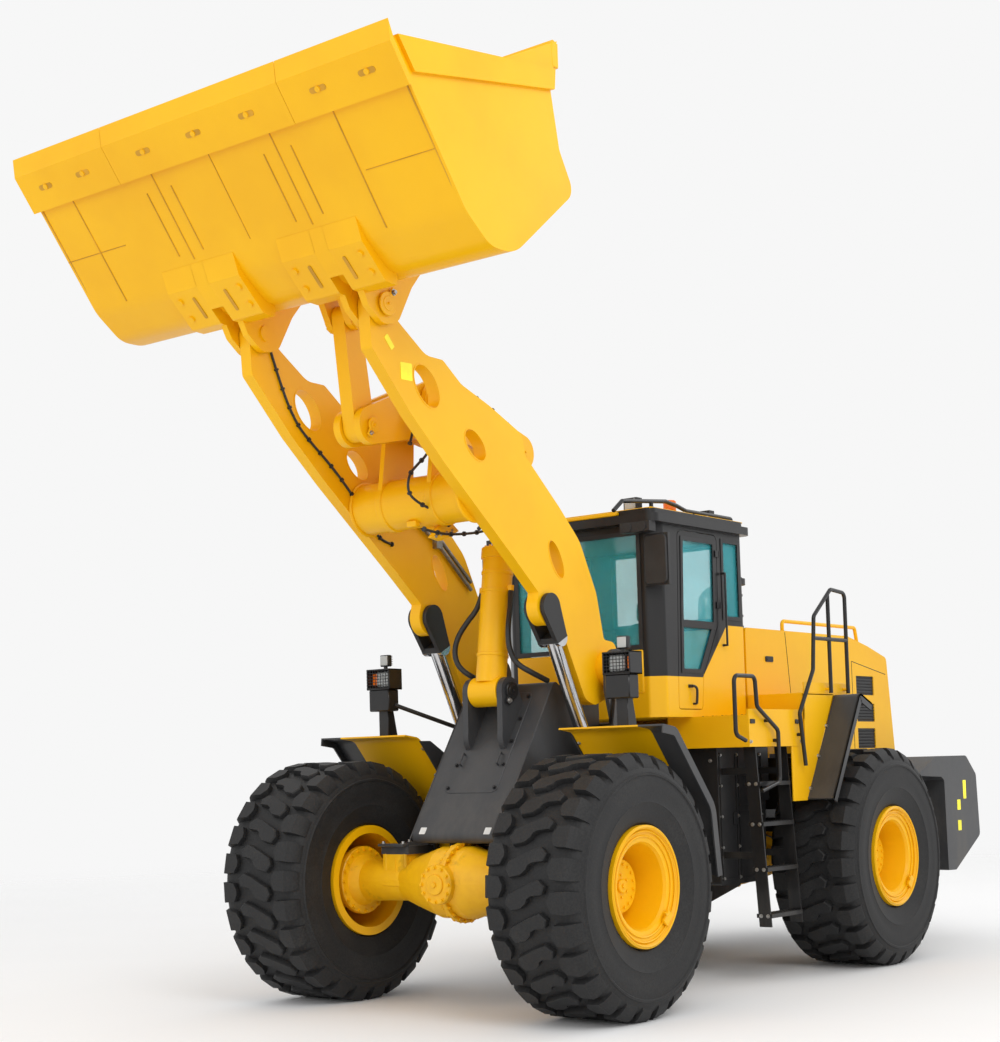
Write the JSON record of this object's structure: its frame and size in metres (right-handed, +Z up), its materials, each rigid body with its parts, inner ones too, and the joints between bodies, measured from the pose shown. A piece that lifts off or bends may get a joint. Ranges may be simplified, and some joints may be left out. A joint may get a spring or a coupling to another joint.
{
  "type": "articulated wheel loader",
  "caption": "Large articulated wheel loader with a raised boom, single Z-bar linkage, rolled-back bucket, cab, hood, counterweight, ladders and rails.",
  "frame": {"origin": "on the ground under the articulation pin", "axes": "+X forward to the bucket, +Y to the loader's left, +Z up"},
  "size_m": [10.2875, 3.97, 7.3357],
  "materials": {
    "yellow_paint": "satin yellow enamel",
    "grey_paint": "satin dark grey enamel",
    "dark_paint": "painted casting",
    "black_paint": "satin black enamel",
    "steel": "worn bare steel",
    "chrome": "polished hard chrome",
    "tyre": "dusty black rubber",
    "glass": "tinted safety glass",
    "lamp_glass": "clear lamp glass",
    "black_plastic": "textured black plastic",
    "seat_fabric": "woven cloth"
  },
  "bodies": {
    "rear_body": {"rear_frame": "grey_paint", "counterweight": "grey_paint", "rear_axle": "dark_paint", "engine": "dark_paint", "transmission": "dark_paint", "hood": "yellow_paint", "vent_grilles": "black_paint", "deck": "yellow_paint", "equipment_boxes": "black_paint", "ladders": "black_paint", "handrails": "black_paint", "rear_fenders": "yellow_paint", "cab_shell": "yellow_paint", "cab_glass": "glass", "cab_roof": "yellow_paint", "roof_lamps": "black_plastic", "roof_rail": "black_paint", "mirrors": "black_plastic", "seat": "seat_fabric", "steering_column": "black_plastic", "intake_stack": "black_plastic", "hood_rail": "yellow_paint"},
    "front_body": {"front_frame": "grey_paint", "front_axle": "dark_paint", "front_shaft": "dark_paint", "front_fenders": "yellow_paint", "fender_lips": "grey_paint", "lamp_brackets": "grey_paint", "headlamps": "lamp_glass"},
    "door": {"cab_door": "yellow_paint", "door_glass": "glass"},
    "grille": {"grille_door": "black_paint"},
    "boom_body": {"boom": "yellow_paint", "arm_pipes": "steel"},
    "bellcrank_body": {"bellcrank": "yellow_paint"},
    "link_body": {"tilt_link": "yellow_paint"},
    "bucket_body": {"bucket": "yellow_paint", "cutting_edge": "steel", "side_cutters": "yellow_paint"},
    "lift_barrel_body": {"lift_barrels": "yellow_paint"},
    "lift_rod_body": {"lift_rods": "chrome"},
    "tilt_barrel_body": {"tilt_barrel": "yellow_paint"},
    "tilt_rod_body": {"tilt_rod": "chrome"},
    "wheel_front_left": {"tyre_front_left": "tyre", "rim_front_left": "yellow_paint"},
    "wheel_front_right": {"tyre_front_right": "tyre", "rim_front_right": "yellow_paint"},
    "wheel_rear_left": {"tyre_rear_left": "tyre", "rim_rear_left": "yellow_paint"},
    "wheel_rear_right": {"tyre_rear_right": "tyre", "rim_rear_right": "yellow_paint"}
  },
  "joints": [
    {"name": "articulation", "type": "hinge", "parent": "rear_body", "child": "front_body", "pos_m": [0, 0, 0], "axis": [0, 0, 1], "range_deg": [-35, 35]},
    {"name": "boom_lift", "type": "hinge", "parent": "front_body", "child": "boom_body", "pos_m": [0.975, 0, 2.8], "axis": [0, 1, 0], "range_deg": [0, 78]},
    {"name": "bucket_tilt", "type": "hinge", "parent": "boom_body", "child": "bucket_body", "pos_m": [3.825, 0, 5.46], "axis": [0, 1, 0], "range_deg": [0, 92]},
    {"name": "bellcrank_pivot", "type": "hinge", "parent": "boom_body", "child": "bellcrank_body", "pos_m": [2.515, 0, 4.95], "axis": [0, 1, 0], "range_deg": [-34, 1]},
    {"name": "link_pivot", "type": "hinge", "parent": "bellcrank_body", "child": "link_body", "pos_m": [3.315, 0, 4.7], "axis": [0, 1, 0], "range_deg": [-1, 64]},
    {"name": "lift_barrel_pivot", "type": "hinge", "parent": "front_body", "child": "lift_barrel_body", "pos_m": [0.575, 0, 0.88], "axis": [0, 1, 0], "range_deg": [-1, 18]},
    {"name": "lift_rod_slide", "type": "slide", "parent": "lift_barrel_body", "child": "lift_rod_body", "axis": [0.4517, 0, 0.8922], "range_m": [-1.06, 0]},
    {"name": "tilt_barrel_pivot", "type": "hinge", "parent": "front_body", "child": "tilt_barrel_body", "pos_m": [1.715, 0, 2.62], "axis": [0, 1, 0], "range_deg": [-1, 94]},
    {"name": "tilt_rod_slide", "type": "slide", "parent": "tilt_barrel_body", "child": "tilt_rod_body", "axis": [-0.1404, 0, 0.9901], "range_m": [-0.7, 0]},
    {"name": "door_hinge", "type": "hinge", "parent": "rear_body", "child": "door", "pos_m": [-0.668, 0.884, 3.2], "axis": [0, 0, 1], "range_deg": [0, 95]},
    {"name": "grille_hinge", "type": "hinge", "parent": "rear_body", "child": "grille", "pos_m": [-4.28974, 0.672, 2.13], "axis": [-0.1242, 0, -0.9923], "range_deg": [0, 100]},
    {"name": "front_left_spin", "type": "hinge", "parent": "front_body", "child": "wheel_front_left", "pos_m": [2.175, 1.415, 1.03], "axis": [0, 1, 0], "continuous": true},
    {"name": "front_right_spin", "type": "hinge", "parent": "front_body", "child": "wheel_front_right", "pos_m": [2.175, -1.415, 1.03], "axis": [0, 1, 0], "continuous": true},
    {"name": "rear_left_spin", "type": "hinge", "parent": "rear_body", "child": "wheel_rear_left", "pos_m": [-2.175, 1.415, 1.03], "axis": [0, 1, 0], "continuous": true},
    {"name": "rear_right_spin", "type": "hinge", "parent": "rear_body", "child": "wheel_rear_right", "pos_m": [-2.175, -1.415, 1.03], "axis": [0, 1, 0], "continuous": true}
  ],
  "couplings": [
    {"joint": "bellcrank_pivot", "follows": "bucket_tilt", "ratio": -0.36},
    {"joint": "link_pivot", "follows": "bucket_tilt", "ratio": 0.68},
    {"joint": "lift_barrel_pivot", "follows": "boom_lift", "ratio": 0.215},
    {"joint": "lift_rod_slide", "follows": "boom_lift", "m_per_rad": -0.77},
    {"joint": "tilt_barrel_pivot", "follows": "boom_lift", "ratio": 1.15},
    {"joint": "tilt_rod_slide", "follows": "boom_lift", "m_per_rad": -0.5}
  ]
}
